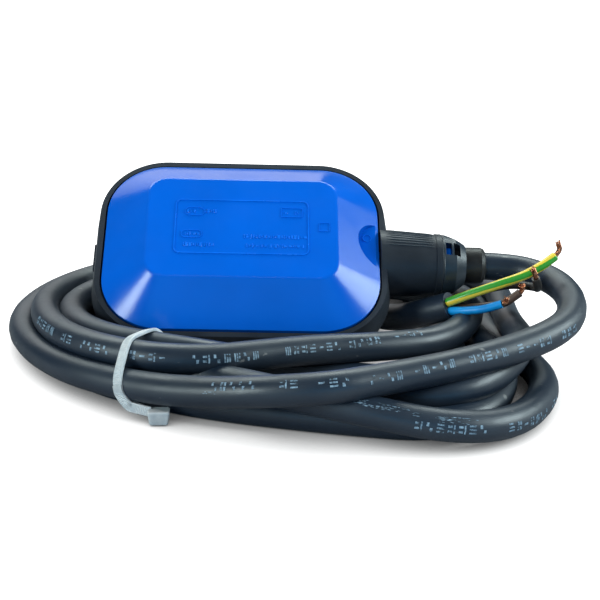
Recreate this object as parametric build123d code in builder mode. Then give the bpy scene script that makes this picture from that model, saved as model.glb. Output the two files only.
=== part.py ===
"""Tethered float switch for a drainage pump, with its supply cable coiled and tied.

Units are millimetres. The origin is the bottom centre of the float's own box, +X runs along
the cable gland, +Z is up and the float leans back so that its blue cover faces -Y and up.
"""

import math
import os

from build123d import *

os.makedirs("parts", exist_ok=True)

# ---------------------------------------------------------------- float casing
RIM_HALF = (50.5, 36.8)  # half length and half height of the rim around the cover
GIRTH_HALF = (52.2, 38.4)  # the widest outline, level with the gland's axis
BACK_HALF = (50.4, 37.0)  # where the side wall turns into the back bevel
FLAT_HALF = (36.4, 23.0)  # flat part of the back
RIM_CORNER = 23.5
GIRTH_CORNER = 25.0
FLAT_CORNER = 9.5
GIRTH_DEPTH = 9.0  # below the rim, along the cover's normal
WALL_DEPTH = 18.0
BACK_DEPTH = 29.75
SHELL = 2.5

COVER_HALF = (47.9, 34.2)
COVER_CORNER = 20.4
COVER_EDGE_RISE = 0.4
COVER_TOP_HALF = (32.6, 20.4)
COVER_TOP_CORNER = 6.5
COVER_TOP_RISE = 11.75
COVER_WALL = 2.4
GROOVE = 0.7  # open gap around the cover
LEDGE_DEPTH = 3.0
SEAL_THICKNESS = 1.5
CAVITY_HALF = (45.0, 31.4)
CAVITY_CORNER = 18.0
CAVITY_STEP_DEPTH = 16.0

# ---------------------------------------------------------------- gland
CABLE_RADIUS = 5.0
NECK_START = 47.0  # distances along the gland from the middle of the cover
NECK_END = 70.8
NECK_RADIUS_BASE = 12.4
NECK_RADIUS_END = 10.8
NECK_BORE = 8.6
NECK_BORE_START = 49.0
CORE_HOLE = 6.2  # passage from the neck into the casing
NOSE_START = 66.0
NOSE_END = 79.2
BUSH_START = 61.5
WASHER_THICK = 1.5
BUSH_END = 86.5
BUSH_RADIUS = 6.5
CABLE_STRIP = 50.0  # where the jacket ends inside the casing
CABLE_HANDOVER = 78.5  # where the clamped length becomes the free cord

# ---------------------------------------------------------------- placing the float
LEAN = 50.0  # degrees that the cover's long side is turned up from the floor
SIN_LEAN = math.sin(math.radians(LEAN))
COS_LEAN = math.cos(math.radians(LEAN))
FRONT_REACH = RIM_HALF[1] * SIN_LEAN
BACK_REACH = BACK_HALF[1] * SIN_LEAN + WALL_DEPTH * COS_LEAN
COVER_MIDDLE = (
    (GIRTH_HALF[0] - BUSH_END) / 2,
    (FRONT_REACH - BACK_REACH) / 2,
    BACK_HALF[1] * COS_LEAN + WALL_DEPTH * SIN_LEAN,
)
face = Plane(
    origin=COVER_MIDDLE, x_dir=(1, 0, 0), z_dir=(0, -COS_LEAN, SIN_LEAN)
)
gland_origin = face.from_local_coords(Vector(0, 0, -GIRTH_DEPTH))
# gland_profile: local x runs along the gland, local y is the radius towards the cover's side.
gland_profile = Plane(origin=gland_origin, x_dir=(1, 0, 0), z_dir=(0, -SIN_LEAN, -COS_LEAN))
gland_axis = Axis(gland_origin, (1, 0, 0))
gland_section = Plane(origin=gland_origin, x_dir=face.y_dir, z_dir=(1, 0, 0))


def at(along, up, out):
    """World point from float coordinates: along the gland, up the cover, out of the cover."""
    return face.from_local_coords(Vector(along, up, out))


def rounded(half, corner, level):
    """One rounded rectangle parallel to the rim, at a level above it."""
    with BuildSketch(face.offset(level)) as outline:
        RectangleRounded(2 * half[0], 2 * half[1], corner)
    return outline.sketch


def ring_profile(*points):
    """A closed profile beside the gland's axis: (distance along, radius) points."""
    with BuildSketch(gland_profile) as profile:
        with BuildLine():
            Polyline(*points, close=True)
        make_face()
    return profile.sketch


def keep(builder, name):
    """Labels a finished piece and writes its file."""
    builder.part.label = name
    export_step(builder.part, f"parts/{name}.step")


# ---------------------------------------------------------------- body shell
with BuildPart() as body_shell:
    rim = rounded(RIM_HALF, RIM_CORNER, 0)
    girth = rounded(GIRTH_HALF, GIRTH_CORNER, -GIRTH_DEPTH)
    back = rounded(BACK_HALF, RIM_CORNER, -WALL_DEPTH)
    flat = rounded(FLAT_HALF, FLAT_CORNER, -BACK_DEPTH)
    for near, far in ((rim, girth), (girth, back), (back, flat)):
        loft([near, far], ruled=True)
    revolve(
        ring_profile(
            (NECK_START, 0),
            (NECK_START, NECK_RADIUS_BASE),
            (NECK_END - 2.4, NECK_RADIUS_END),
            (NECK_END - 2.3, NECK_RADIUS_END + 0.25),
            (NECK_END - 0.3, NECK_RADIUS_END + 0.2),
            (NECK_END, NECK_RADIUS_END - 0.1),
            (NECK_END, 0),
        ),
        axis=gland_axis,
    )
    # rebate for the cover, its seal ledge and the hollow behind
    with BuildSketch(face.offset(-LEDGE_DEPTH)):
        RectangleRounded(
            2 * (COVER_HALF[0] + GROOVE), 2 * (COVER_HALF[1] + GROOVE), COVER_CORNER + GROOVE
        )
    extrude(amount=3 * LEDGE_DEPTH, mode=Mode.SUBTRACT)
    with BuildSketch(face.offset(-LEDGE_DEPTH - SEAL_THICKNESS)):
        RectangleRounded(2 * COVER_HALF[0] - 0.6, 2 * COVER_HALF[1] - 0.6, COVER_CORNER)
    extrude(amount=LEDGE_DEPTH, mode=Mode.SUBTRACT)
    with BuildSketch(face.offset(-CAVITY_STEP_DEPTH)):
        RectangleRounded(2 * CAVITY_HALF[0], 2 * CAVITY_HALF[1], CAVITY_CORNER)
    extrude(amount=CAVITY_STEP_DEPTH, mode=Mode.SUBTRACT)
    cavity_step = rounded(CAVITY_HALF, CAVITY_CORNER, -CAVITY_STEP_DEPTH)
    cavity_floor = rounded(
        (FLAT_HALF[0] - 2, FLAT_HALF[1] - 2), FLAT_CORNER - 1, -BACK_DEPTH + SHELL
    )
    loft([cavity_step, cavity_floor], ruled=True, mode=Mode.SUBTRACT)
    revolve(
        ring_profile(
            (NECK_START - 6, 0), (NECK_START - 6, CORE_HOLE), (NECK_BORE_START, CORE_HOLE),
            (NECK_BORE_START, NECK_BORE), (NECK_END, NECK_BORE), (NECK_END, 0),
        ),
        axis=gland_axis, mode=Mode.SUBTRACT,
    )
    # low ridge where the moulding gate was cut off the left wall
    with BuildSketch(Plane(origin=at(-GIRTH_HALF[0] + 1, 0, -GIRTH_DEPTH), x_dir=face.y_dir,
                           z_dir=(-1, 0, 0))):
        RectangleRounded(11, 2.4, 1)
    extrude(amount=1.35)
keep(body_shell, "body_shell")

# ---------------------------------------------------------------- front cover
POCKET_CENTRE = (49.5, 0.5)  # round pocket in the bevel beside the gland
POCKET_RADIUS = 9.2
POCKET_FLOOR = 1.2
POCKET_BACK = -1.4
with BuildPart() as cover_block:
    with BuildSketch(face.offset(-LEDGE_DEPTH)):
        RectangleRounded(2 * COVER_HALF[0], 2 * COVER_HALF[1], COVER_CORNER)
    extrude(amount=LEDGE_DEPTH + COVER_EDGE_RISE)
    edge = rounded(COVER_HALF, COVER_CORNER, COVER_EDGE_RISE)
    top = rounded(COVER_TOP_HALF, COVER_TOP_CORNER, COVER_TOP_RISE)
    loft([edge, top], ruled=True)
    top_face = cover_block.faces().sort_by(Axis(at(0, 0, 0), face.z_dir))[-1]
    fillet(top_face.edges(), radius=1.6)
with BuildPart() as pocket_wall:
    with BuildSketch(face.offset(POCKET_BACK)):
        with Locations(POCKET_CENTRE):
            Circle(POCKET_RADIUS + 1.6)
    extrude(amount=COVER_TOP_RISE)
    add(cover_block.part, mode=Mode.INTERSECT)
with BuildPart() as front_cover:
    add(cover_block.part)
    with BuildSketch(face.offset(-LEDGE_DEPTH)):
        RectangleRounded(
            2 * (COVER_HALF[0] - COVER_WALL), 2 * (COVER_HALF[1] - COVER_WALL),
            COVER_CORNER - COVER_WALL,
        )
    extrude(amount=LEDGE_DEPTH - 1, mode=Mode.SUBTRACT)
    inner_edge = rounded(
        (COVER_HALF[0] - COVER_WALL, COVER_HALF[1] - COVER_WALL), COVER_CORNER - COVER_WALL, -1
    )
    inner_top = rounded(
        (COVER_TOP_HALF[0] - 1, COVER_TOP_HALF[1] - 1), COVER_TOP_CORNER - 1,
        COVER_TOP_RISE - COVER_WALL,
    )
    loft([inner_edge, inner_top], ruled=True, mode=Mode.SUBTRACT)
    add(pocket_wall.part)
    with BuildSketch(face.offset(POCKET_FLOOR)):
        with Locations(POCKET_CENTRE):
            Circle(POCKET_RADIUS)
    extrude(amount=COVER_TOP_RISE, mode=Mode.SUBTRACT)
keep(front_cover, "front_cover")

with BuildPart() as cover_seal:
    with BuildSketch(face.offset(-LEDGE_DEPTH - SEAL_THICKNESS)):
        RectangleRounded(2 * COVER_HALF[0] - 0.6, 2 * COVER_HALF[1] - 0.6, COVER_CORNER)
        RectangleRounded(
            2 * CAVITY_HALF[0], 2 * CAVITY_HALF[1], CAVITY_CORNER, mode=Mode.SUBTRACT
        )
    extrude(amount=SEAL_THICKNESS)
keep(cover_seal, "cover_seal")

# ---------------------------------------------------------------- gland pieces
CLAMP_END = NECK_END + 3.4
HOOD_TURN = 32.0  # degrees that the hood's slope faces from up the cover towards its front
WINDOW_HEIGHT = 5.0
WINDOW_ABOVE = 3.0  # the cut starts this far above the rim, clear of the nose
with BuildPart() as gland_nose:
    revolve(
        ring_profile(
            (NOSE_START, NECK_BORE - 1.2),
            (NOSE_START, NECK_BORE),
            (NECK_END, NECK_BORE),
            (NECK_END, 10.6),
            (NECK_END + 0.4, 10.8),
            (NECK_END + 4.6, 10.2),
            (NECK_END + 7.4, 8.0),
            (NOSE_END, 7.2),
            (NOSE_END, BUSH_RADIUS + 0.05),
            (NOSE_END - 2.2, BUSH_RADIUS + 0.05),
            (NECK_END + 2.6, NECK_BORE - 1.2),
        ),
        axis=gland_axis,
    )
    # hood: one side is planed off to a slope that falls towards the cable
    hood_side = Vector(0, SIN_LEAN, COS_LEAN).rotate(Axis.X, HOOD_TURN)
    with BuildSketch(Plane(origin=gland_origin, x_dir=(1, 0, 0),
                           z_dir=Vector(1, 0, 0).cross(hood_side))):
        with BuildLine():
            Polyline(
                (NECK_END + 0.4, 10.9), (NOSE_END + 1, 6.7), (NOSE_END + 1, 14), (NECK_END, 14),
                close=True,
            )
        make_face()
    extrude(amount=14, both=True, mode=Mode.SUBTRACT)
    # two windows through the front wall
    for along, size in ((NECK_END + 1.9, 2.2), (NECK_END + 4.9, 2.4)):
        with BuildSketch(face.offset(WINDOW_ABOVE)):
            with Locations((along, 0)):
                Rectangle(size, WINDOW_HEIGHT)
        extrude(amount=1.5 - GIRTH_DEPTH - WINDOW_ABOVE, mode=Mode.SUBTRACT)
keep(gland_nose, "gland_nose")

with BuildPart() as clamp_ring:
    revolve(
        ring_profile(
            (NECK_END + 0.2, BUSH_RADIUS + 0.02),
            (NECK_END + 0.2, NECK_BORE - 1.25),
            (NECK_END + 2.6, NECK_BORE - 1.25),
            (CLAMP_END, NECK_BORE - 1.5),
            (CLAMP_END, BUSH_RADIUS + 0.02),
        ),
        axis=gland_axis,
    )
keep(clamp_ring, "clamp_ring")

with BuildPart() as thrust_washer:
    revolve(
        ring_profile(
            (BUSH_START - WASHER_THICK, 5.2), (BUSH_START - WASHER_THICK, 8.5),
            (BUSH_START, 8.5), (BUSH_START, 5.2),
        ),
        axis=gland_axis,
    )
keep(thrust_washer, "thrust_washer")

with BuildPart() as seal_bush:
    revolve(
        ring_profile(
            (BUSH_START, CABLE_RADIUS),
            (BUSH_START, 8.3),
            (NOSE_START - 0.9, 8.3),
            (NOSE_START - 0.1, BUSH_RADIUS),
            (BUSH_END - 1.6, BUSH_RADIUS),
            (BUSH_END - 0.5, BUSH_RADIUS - 0.45),
            (BUSH_END, BUSH_RADIUS - 1.2),
            (BUSH_END, CABLE_RADIUS),
        ),
        axis=gland_axis,
    )
keep(seal_bush, "seal_bush")

with BuildPart() as potting_seal:
    revolve(
        ring_profile(
            (CABLE_STRIP, CABLE_RADIUS), (CABLE_STRIP, NECK_BORE),
            (BUSH_START - WASHER_THICK, NECK_BORE), (BUSH_START - WASHER_THICK, CABLE_RADIUS),
        ),
        axis=gland_axis,
    )
keep(potting_seal, "potting_seal")

# ---------------------------------------------------------------- switch carrier
TRAY_HALF = (33.0, 20.0)
TRAY_CORNER = 6.0
TRAY_BOTTOM = -BACK_DEPTH + SHELL
TRAY_TOP = -9.0
TRAY_WALL = 2.0
LID_THICKNESS = 2.0
FLANGE_HALF = (39.5, 17.0)
SCREW_SPOTS = [(36.2, 11.0), (36.2, -11.0), (-36.2, 11.0), (-36.2, -11.0)]
SCREW_RADIUS = 1.25
SWITCH_CENTRE = (15.0, 9.4)
SWITCH_SIZE = (27.8, 15.9)
SWITCH_BOTTOM = -24.6
SWITCH_TOP = -14.3
TERMINALS = {"terminal_common": 25.0, "terminal_open": 15.0, "terminal_closed": 5.0}
TERMINAL_LEVEL = -19.0
BALL_RADIUS = 7.0
BALL_REST = 14.0
BALL_UP = -10.7
BALL_LEVEL = TRAY_BOTTOM + TRAY_WALL + BALL_RADIUS + 0.3
BALL_TRAVEL = 36.0
PIN_ALONG = -14.0
PIN_UP = -1.2
PIN_RADIUS = 1.0

with BuildPart() as switch_tray:
    with BuildSketch(face.offset(TRAY_BOTTOM)):
        RectangleRounded(2 * TRAY_HALF[0], 2 * TRAY_HALF[1], TRAY_CORNER)
    extrude(amount=TRAY_TOP - TRAY_BOTTOM)
    with BuildSketch(face.offset(TRAY_TOP - 2)):
        RectangleRounded(2 * FLANGE_HALF[0], 2 * FLANGE_HALF[1], 3)
    extrude(amount=2)
    with BuildSketch(face.offset(TRAY_BOTTOM + TRAY_WALL)):
        RectangleRounded(
            2 * (TRAY_HALF[0] - TRAY_WALL), 2 * (TRAY_HALF[1] - TRAY_WALL), TRAY_CORNER - TRAY_WALL
        )
    extrude(amount=TRAY_TOP - TRAY_BOTTOM, mode=Mode.SUBTRACT)
    # end stop of the ball's lane and the seat of the lever's pin
    with BuildSketch(face.offset(TRAY_BOTTOM + TRAY_WALL)):
        with Locations((24.4, -11.5)):
            Rectangle(2.6, 13)
    extrude(amount=13)
    with BuildSketch(face.offset(TRAY_BOTTOM + TRAY_WALL)):
        with Locations((PIN_ALONG, PIN_UP)):
            Circle(2.2)
    extrude(amount=1.4)
    with BuildSketch(face.offset(TRAY_BOTTOM + TRAY_WALL)):
        with Locations((PIN_ALONG, PIN_UP)):
            Circle(PIN_RADIUS)
    extrude(amount=1.4, mode=Mode.SUBTRACT)
    # slots for the terminals in the upper wall
    with BuildSketch(face.offset(TERMINAL_LEVEL - 3.6)):
        for along in TERMINALS.values():
            with Locations((along, TRAY_HALF[1] - 1)):
                Rectangle(1.6, 4)
    extrude(amount=20, mode=Mode.SUBTRACT)
    with BuildSketch(face.offset(TRAY_TOP - 2)):
        with Locations(*SCREW_SPOTS):
            Circle(SCREW_RADIUS)
    extrude(amount=2, mode=Mode.SUBTRACT)
keep(switch_tray, "switch_tray")

with BuildPart() as tray_lid:
    with BuildSketch(face.offset(TRAY_TOP)):
        RectangleRounded(2 * TRAY_HALF[0], 2 * TRAY_HALF[1], TRAY_CORNER)
        RectangleRounded(2 * FLANGE_HALF[0], 2 * FLANGE_HALF[1], 3)
        with Locations(*SCREW_SPOTS):
            Circle(SCREW_RADIUS, mode=Mode.SUBTRACT)
    extrude(amount=LID_THICKNESS)
keep(tray_lid, "tray_lid")

with BuildPart() as lid_screws:
    with BuildSketch(face.offset(TRAY_TOP - 2)):
        with Locations(*SCREW_SPOTS):
            Circle(SCREW_RADIUS)
    extrude(amount=2 + LID_THICKNESS)
    with BuildSketch(face.offset(TRAY_TOP + LID_THICKNESS)):
        with Locations(*SCREW_SPOTS):
            Circle(2.3)
    extrude(amount=1.5)
    with BuildSketch(face.offset(TRAY_TOP + LID_THICKNESS + 0.7)):
        with Locations(*SCREW_SPOTS):
            Rectangle(2.6, 0.6)
            Rectangle(0.6, 2.6)
    extrude(amount=1, mode=Mode.SUBTRACT)
keep(lid_screws, "lid_screws")

with BuildPart() as steel_ball:
    with Locations(at(BALL_REST, BALL_UP, BALL_LEVEL)):
        Sphere(BALL_RADIUS)
keep(steel_ball, "steel_ball")

LEVER_UNDER = -1.8
LEVER_THICK = 1.2
LEVER_BUMP = 1.6  # rounded foot that the ball presses
with BuildPart() as switch_lever:
    with BuildSketch(face.offset(TRAY_BOTTOM + TRAY_WALL + 1.7)):
        with Locations(((PIN_ALONG + 20) / 2, LEVER_UNDER + LEVER_THICK / 2)):
            Rectangle(20 - PIN_ALONG, LEVER_THICK)
        with Locations((PIN_ALONG, PIN_UP)):
            Circle(1.9)
        with Locations((BALL_REST, LEVER_UNDER)):
            Ellipse(2.6, LEVER_BUMP)
        with Locations((PIN_ALONG, PIN_UP)):
            Circle(PIN_RADIUS + 0.05, mode=Mode.SUBTRACT)
    extrude(amount=12.5)
keep(switch_lever, "switch_lever")

with BuildPart() as lever_pin:
    with BuildSketch(face.offset(TRAY_BOTTOM + TRAY_WALL)):
        with Locations((PIN_ALONG, PIN_UP)):
            Circle(PIN_RADIUS)
    extrude(amount=TRAY_TOP - TRAY_BOTTOM - TRAY_WALL)
keep(lever_pin, "lever_pin")

# ---------------------------------------------------------------- microswitch
CASE_WALL = 1.2
PLUNGER_ALONG = 10.0
PLUNGER_RADIUS = 1.2
BLADE_PIVOT = (25.6, 9.0)
BLADE_LEVEL = TERMINAL_LEVEL
case_low = SWITCH_CENTRE[1] - SWITCH_SIZE[1] / 2
case_high = SWITCH_CENTRE[1] + SWITCH_SIZE[1] / 2

with BuildPart() as microswitch_case:
    with BuildSketch(face.offset(SWITCH_BOTTOM)):
        with Locations(SWITCH_CENTRE):
            RectangleRounded(SWITCH_SIZE[0], SWITCH_SIZE[1], 0.8)
    extrude(amount=SWITCH_TOP - 1.2 - SWITCH_BOTTOM)
    with BuildSketch(face.offset(SWITCH_BOTTOM + CASE_WALL)):
        with Locations(SWITCH_CENTRE):
            Rectangle(SWITCH_SIZE[0] - 2 * CASE_WALL, SWITCH_SIZE[1] - 2 * CASE_WALL)
    extrude(amount=20, mode=Mode.SUBTRACT)
    # plunger hole, on the side that faces the lever
    with BuildSketch(Plane(origin=at(PLUNGER_ALONG, case_low - 1, BLADE_LEVEL),
                           x_dir=(1, 0, 0), z_dir=face.y_dir)):
        Circle(PLUNGER_RADIUS + 0.05)
    extrude(amount=CASE_WALL + 1, mode=Mode.SUBTRACT)
    # terminal slots, on the far side
    with BuildSketch(face.offset(TERMINAL_LEVEL - 3.15)):
        for along in TERMINALS.values():
            with Locations((along, case_high)):
                Rectangle(0.8, 4)
    extrude(amount=6.3, mode=Mode.SUBTRACT)
    # blade pivot post
    with BuildSketch(face.offset(SWITCH_BOTTOM + CASE_WALL)):
        with Locations(BLADE_PIVOT):
            Circle(0.8)
    extrude(amount=7.5)
keep(microswitch_case, "microswitch_case")

with BuildPart() as microswitch_lid:
    with BuildSketch(face.offset(SWITCH_TOP - 1.2)):
        with Locations(SWITCH_CENTRE):
            RectangleRounded(SWITCH_SIZE[0], SWITCH_SIZE[1], 0.8)
    extrude(amount=1.2)
keep(microswitch_lid, "microswitch_lid")

with BuildPart() as plunger:
    with BuildSketch(Plane(origin=at(PLUNGER_ALONG, -0.2, BLADE_LEVEL),
                           x_dir=(1, 0, 0), z_dir=face.y_dir)):
        Circle(PLUNGER_RADIUS)
    extrude(amount=7.0)
keep(plunger, "plunger")

with BuildPart() as contact_blade:
    with BuildSketch(face.offset(BLADE_LEVEL - 2)):
        with Locations(BLADE_PIVOT):
            Circle(1.3)
        with Locations((BLADE_PIVOT[0] - 10.2, BLADE_PIVOT[1])):
            Rectangle(19, 0.5)
        with Locations((BLADE_PIVOT[0] - 18.9, BLADE_PIVOT[1])):
            Circle(0.7)
        with Locations(BLADE_PIVOT):
            Circle(0.86, mode=Mode.SUBTRACT)
    extrude(amount=4)
keep(contact_blade, "contact_blade")

# Each terminal stands out through the upper wall; the inner foot ends at its contact.
FEET = {
    "terminal_common": [(25.0, 11.0), (25.0, 13.0)],
    "terminal_open": [(15.0, 14.0), (6.7, 14.0), (6.7, 10.9)],
    "terminal_closed": [(5.0, 12.0), (3.6, 12.0), (3.6, 7.0), (6.7, 7.0)],
}
for terminal, along in TERMINALS.items():
    with BuildPart() as blade_terminal:
        with BuildSketch(face.offset(TERMINAL_LEVEL - 3.15)):
            with Locations((along, (FEET[terminal][0][1] + 23.5) / 2)):
                Rectangle(0.8, 23.5 - FEET[terminal][0][1])
        extrude(amount=6.3)
        with BuildSketch(face.offset(TERMINAL_LEVEL - 1.5)):
            for start, end in zip(FEET[terminal], FEET[terminal][1:]):
                middle = ((start[0] + end[0]) / 2, (start[1] + end[1]) / 2)
                size = (abs(start[0] - end[0]) + 0.8, abs(start[1] - end[1]) + 0.8)
                with Locations(middle):
                    Rectangle(*size)
        extrude(amount=3)
    keep(blade_terminal, terminal)

# ---------------------------------------------------------------- cord: helpers
CORE_RADIUS = 1.45


def tube(points, radius, radii):
    """A round tube along straight runs that are joined by tangent arcs."""
    with BuildPart() as made:
        with BuildLine() as line:
            FilletPolyline(*points, radius=radii)
        path = line.wires()[0]
        with BuildSketch(Plane(origin=path @ 0, z_dir=path % 0)):
            Circle(radius)
        sweep(path=path)
    length = path.length
    ratio = made.part.volume / (math.pi * radius**2 * length)
    print(f"tube length {length:.0f}, volume over section x length {ratio:.4f}")
    return made


def corner_radii(points, share=0.45):
    """The largest comfortable arc at each corner of a route."""
    radii = []
    for before, here, after in zip(points, points[1:], points[2:]):
        run_in = Vector(*here) - Vector(*before)
        run_out = Vector(*after) - Vector(*here)
        half_turn = math.radians(run_in.get_angle(run_out)) / 2
        radii.append(share * min(run_in.length, run_out.length) / math.tan(half_turn))
    return radii


def float_points(*points):
    """World points of a route that is given in float coordinates."""
    return [tuple(at(*point)) for point in points]


# ---------------------------------------------------------------- wires inside the casing
WIRES = {
    "wire_black": [(50, 2, -10.4), (46, 2.2, -10.6), (42.3, 8, -12.3), (41.2, 17, -13.4),
                   (33, 26, -13.5), (26.5, 27.8, -15), (25, 25.2, -19)],
    "wire_blue": [(50, 2, -7.4), (45, 2.4, -7.2), (42.5, 8, -4.8), (40, 18, -6.2),
                  (31, 26.8, -8.5), (20, 28.5, -9), (15.6, 27.8, -14), (15, 25.2, -19)],
    "wire_brown": [(50, -2, -7.4), (45, -1.6, -6.6), (41, 3, -3.4), (36, 16, -1.8),
                   (25, 25.6, -3.5), (10, 28.8, -8), (5.6, 28, -14), (5, 25.2, -19)],
    "wire_earth": [(50, -2, -10.6), (45.5, -2.4, -10.2), (42, -7, -6), (38, -12.5, -3.6),
                   (38, -19.5, -3.6)],
}
CAP_TOP = (38, -15.5, -3.6)
for name, route in WIRES.items():
    points = float_points(*route)
    keep(tube(points, CORE_RADIUS, corner_radii(points, 0.42)), name)

with BuildPart() as earth_cap:
    with BuildSketch(Plane(origin=at(*CAP_TOP), x_dir=(1, 0, 0), z_dir=-face.y_dir)):
        Circle(2.4)
    extrude(amount=7.5)
    with BuildSketch(Plane(origin=at(*CAP_TOP), x_dir=(1, 0, 0), z_dir=-face.y_dir)):
        Circle(CORE_RADIUS)
    extrude(amount=4.5, mode=Mode.SUBTRACT)
keep(earth_cap, "earth_cap")

with BuildPart() as cable_entry:
    with BuildSketch(gland_section.offset(CABLE_STRIP)):
        Circle(CABLE_RADIUS)
    extrude(amount=CABLE_HANDOVER - CABLE_STRIP)
keep(cable_entry, "cable_entry")

# ---------------------------------------------------------------- free cord
GLAND_Y = gland_origin.Y
GLAND_Z = gland_origin.Z
CABLE_ROUTE = [
    (COVER_MIDDLE[0] + CABLE_HANDOVER, GLAND_Y, GLAND_Z),
    (77, GLAND_Y, GLAND_Z),
    (88.5, -6, 29.8),
    (94.5, -18, 28.5),
    (94.5, -34, 26.8),
    (88, -50, 24.8),
    (71, -64, 22.6),
    (49, -76, 20.8),
    (27, -85, 19.6),
]
CABLE_END_ROUTE = [
    (-14, 47, 15.5),
    (6, 40, 12.5),
    (22, 29, 9.5),
    (32, 14, 9),
    (40, 1, 11.5),
    (47, -8.5, 15.5),
    (56, -14.5, 20),
]
for name, route in (("cable", CABLE_ROUTE), ("cable_end", CABLE_END_ROUTE)):
    radii = corner_radii(route)
    print(name, "arc radii", [round(r) for r in radii])
    keep(tube(route, CABLE_RADIUS, radii), name)

# The coil is one ring; its inner edge is cut back where the float leans on it.
COIL_TOP = 19.5
COIL_OUTER = 98.5
with BuildPart() as cable_coil:
    with BuildSketch():
        with Locations((-5, -3)):
            Circle(COIL_OUTER)
    extrude(amount=COIL_TOP)
    fillet(cable_coil.edges().group_by(Axis.Z)[-1], radius=8)
    with BuildSketch():
        with Locations((1, 4)):
            Ellipse(61, 44)
    extrude(amount=COIL_TOP, mode=Mode.SUBTRACT)
    with BuildSketch(face.offset(-BACK_DEPTH - 0.8)):
        RectangleRounded(2 * GIRTH_HALF[0] + 2, 2 * GIRTH_HALF[1] + 1, RIM_CORNER)
    extrude(amount=BACK_DEPTH + COVER_TOP_RISE + 2, mode=Mode.SUBTRACT)
    with BuildSketch(gland_section.offset(GIRTH_HALF[0] - 4)):
        Circle(NECK_RADIUS_BASE + 0.8)
    extrude(amount=BUSH_END - GIRTH_HALF[0] + 6, mode=Mode.SUBTRACT)
keep(cable_coil, "cable_coil")

# ---------------------------------------------------------------- stripped end
CORES = {
    "core_earth": [(54.65, -15.5, 21.4), (62, -18.5, 25.6), (72, -21, 30.4), (79, -22, 33.6),
                   (85, -21.5, 37), (90, -20, 40.3)],
    "core_blue": [(55.65, -16.1, 18.55), (60, -20, 20), (66, -23, 21.6), (72, -24.5, 24.2)],
    "core_brown": [(57.35, -13.5, 18.6), (66, -17, 20.6), (73.5, -19.5, 22.4), (79, -20, 27)],
    "core_black": [(56.4, -12.9, 21.4), (66, -13, 25.4), (77, -13.5, 28), (84, -18, 28.6),
                   (84.2, -24.5, 30), (82.6, -26, 34)],
}
for name, route in CORES.items():
    keep(tube(route, CORE_RADIUS, corner_radii(route)), name)

COPPER_RADIUS = 0.75
COPPERS = {
    "copper_earth": [(90, -20, 40.3), (91.2, -20, 42.8), (90.2, -20, 45.8)],
    "copper_blue": [(72, -24.5, 24.2), (73.2, -25, 25.2), (73, -25.4, 26.8)],
    "copper_brown": [(79, -20, 27), (79.6, -20.3, 28.4), (79.2, -20.6, 30)],
    "copper_black": [(82.6, -26, 34), (82, -26.2, 35.8), (80.8, -26, 38)],
}
for name, route in COPPERS.items():
    keep(tube(route, COPPER_RADIUS, corner_radii(route)), name)

# ---------------------------------------------------------------- cable tie
# The loop stands across the coil's turns and leans along them; the head lies in front of the lowest turn.
TIE_CENTRE = (-46, -55.5, 11.25)
TIE_TURN = math.radians(65)  # from -X to the bundle's radial direction, seen from above
TIE_LEAN = math.radians(18)
TIE_INSIDE = (35.5, 20.2)
STRAP_THICK = 1.2
STRAP_WIDTH = 3.4
STRAP_CORNER = 8.3
HEAD_MIDDLE = (-41, -75.5, 0.25)
HEAD_TURN = 4.0
HEAD_SIZE = (6.8, 5.0, 4.45)
RUN_START = (17.4, -6.4)  # in the loop's plane, inside its lower outer corner
RUN_END = (-43.5, -75.2, 3.2)
upright = Vector(0, 0, 1)
radial = Vector(-math.cos(TIE_TURN), -math.sin(TIE_TURN), 0)
leaned = radial.cross(upright) * math.sin(TIE_LEAN) + upright * math.cos(TIE_LEAN)
tie_plane = Plane(origin=TIE_CENTRE, x_dir=radial, z_dir=radial.cross(leaned))
run_start = tie_plane.from_local_coords(Vector(*RUN_START, 0))
run_ahead = Vector(*RUN_END) - run_start
run_plane = Plane(origin=run_start, x_dir=upright.cross(run_ahead), z_dir=run_ahead)
with BuildPart() as cable_tie:
    with BuildSketch(tie_plane.offset(-STRAP_WIDTH / 2)):
        RectangleRounded(
            TIE_INSIDE[0] + 2 * STRAP_THICK, TIE_INSIDE[1] + 2 * STRAP_THICK, STRAP_CORNER + STRAP_THICK
        )
        RectangleRounded(*TIE_INSIDE, STRAP_CORNER, mode=Mode.SUBTRACT)
    extrude(amount=STRAP_WIDTH)
    with BuildSketch(Plane(origin=HEAD_MIDDLE).rotated((0, 0, HEAD_TURN))):
        RectangleRounded(HEAD_SIZE[0], HEAD_SIZE[1], 0.6)
    extrude(amount=HEAD_SIZE[2])
    with BuildSketch(run_plane):
        Rectangle(STRAP_THICK, STRAP_WIDTH - 0.6)
    extrude(amount=run_ahead.length)
keep(cable_tie, "cable_tie")
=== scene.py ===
import math

import bmesh
import bpy
import numpy as np
from mathutils import Matrix, Vector


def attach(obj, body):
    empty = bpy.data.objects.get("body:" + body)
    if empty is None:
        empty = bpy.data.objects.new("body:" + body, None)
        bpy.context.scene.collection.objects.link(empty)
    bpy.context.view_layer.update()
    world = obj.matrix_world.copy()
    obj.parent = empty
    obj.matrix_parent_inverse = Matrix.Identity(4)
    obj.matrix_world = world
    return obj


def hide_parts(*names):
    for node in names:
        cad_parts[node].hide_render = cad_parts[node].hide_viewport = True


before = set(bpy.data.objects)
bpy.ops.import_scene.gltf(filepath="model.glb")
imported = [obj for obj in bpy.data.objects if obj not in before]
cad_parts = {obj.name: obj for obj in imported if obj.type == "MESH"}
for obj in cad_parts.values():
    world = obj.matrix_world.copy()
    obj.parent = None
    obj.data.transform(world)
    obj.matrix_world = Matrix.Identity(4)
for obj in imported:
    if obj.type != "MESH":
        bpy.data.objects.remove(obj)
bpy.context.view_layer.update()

scene = bpy.context.scene
MM = 0.001

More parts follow.
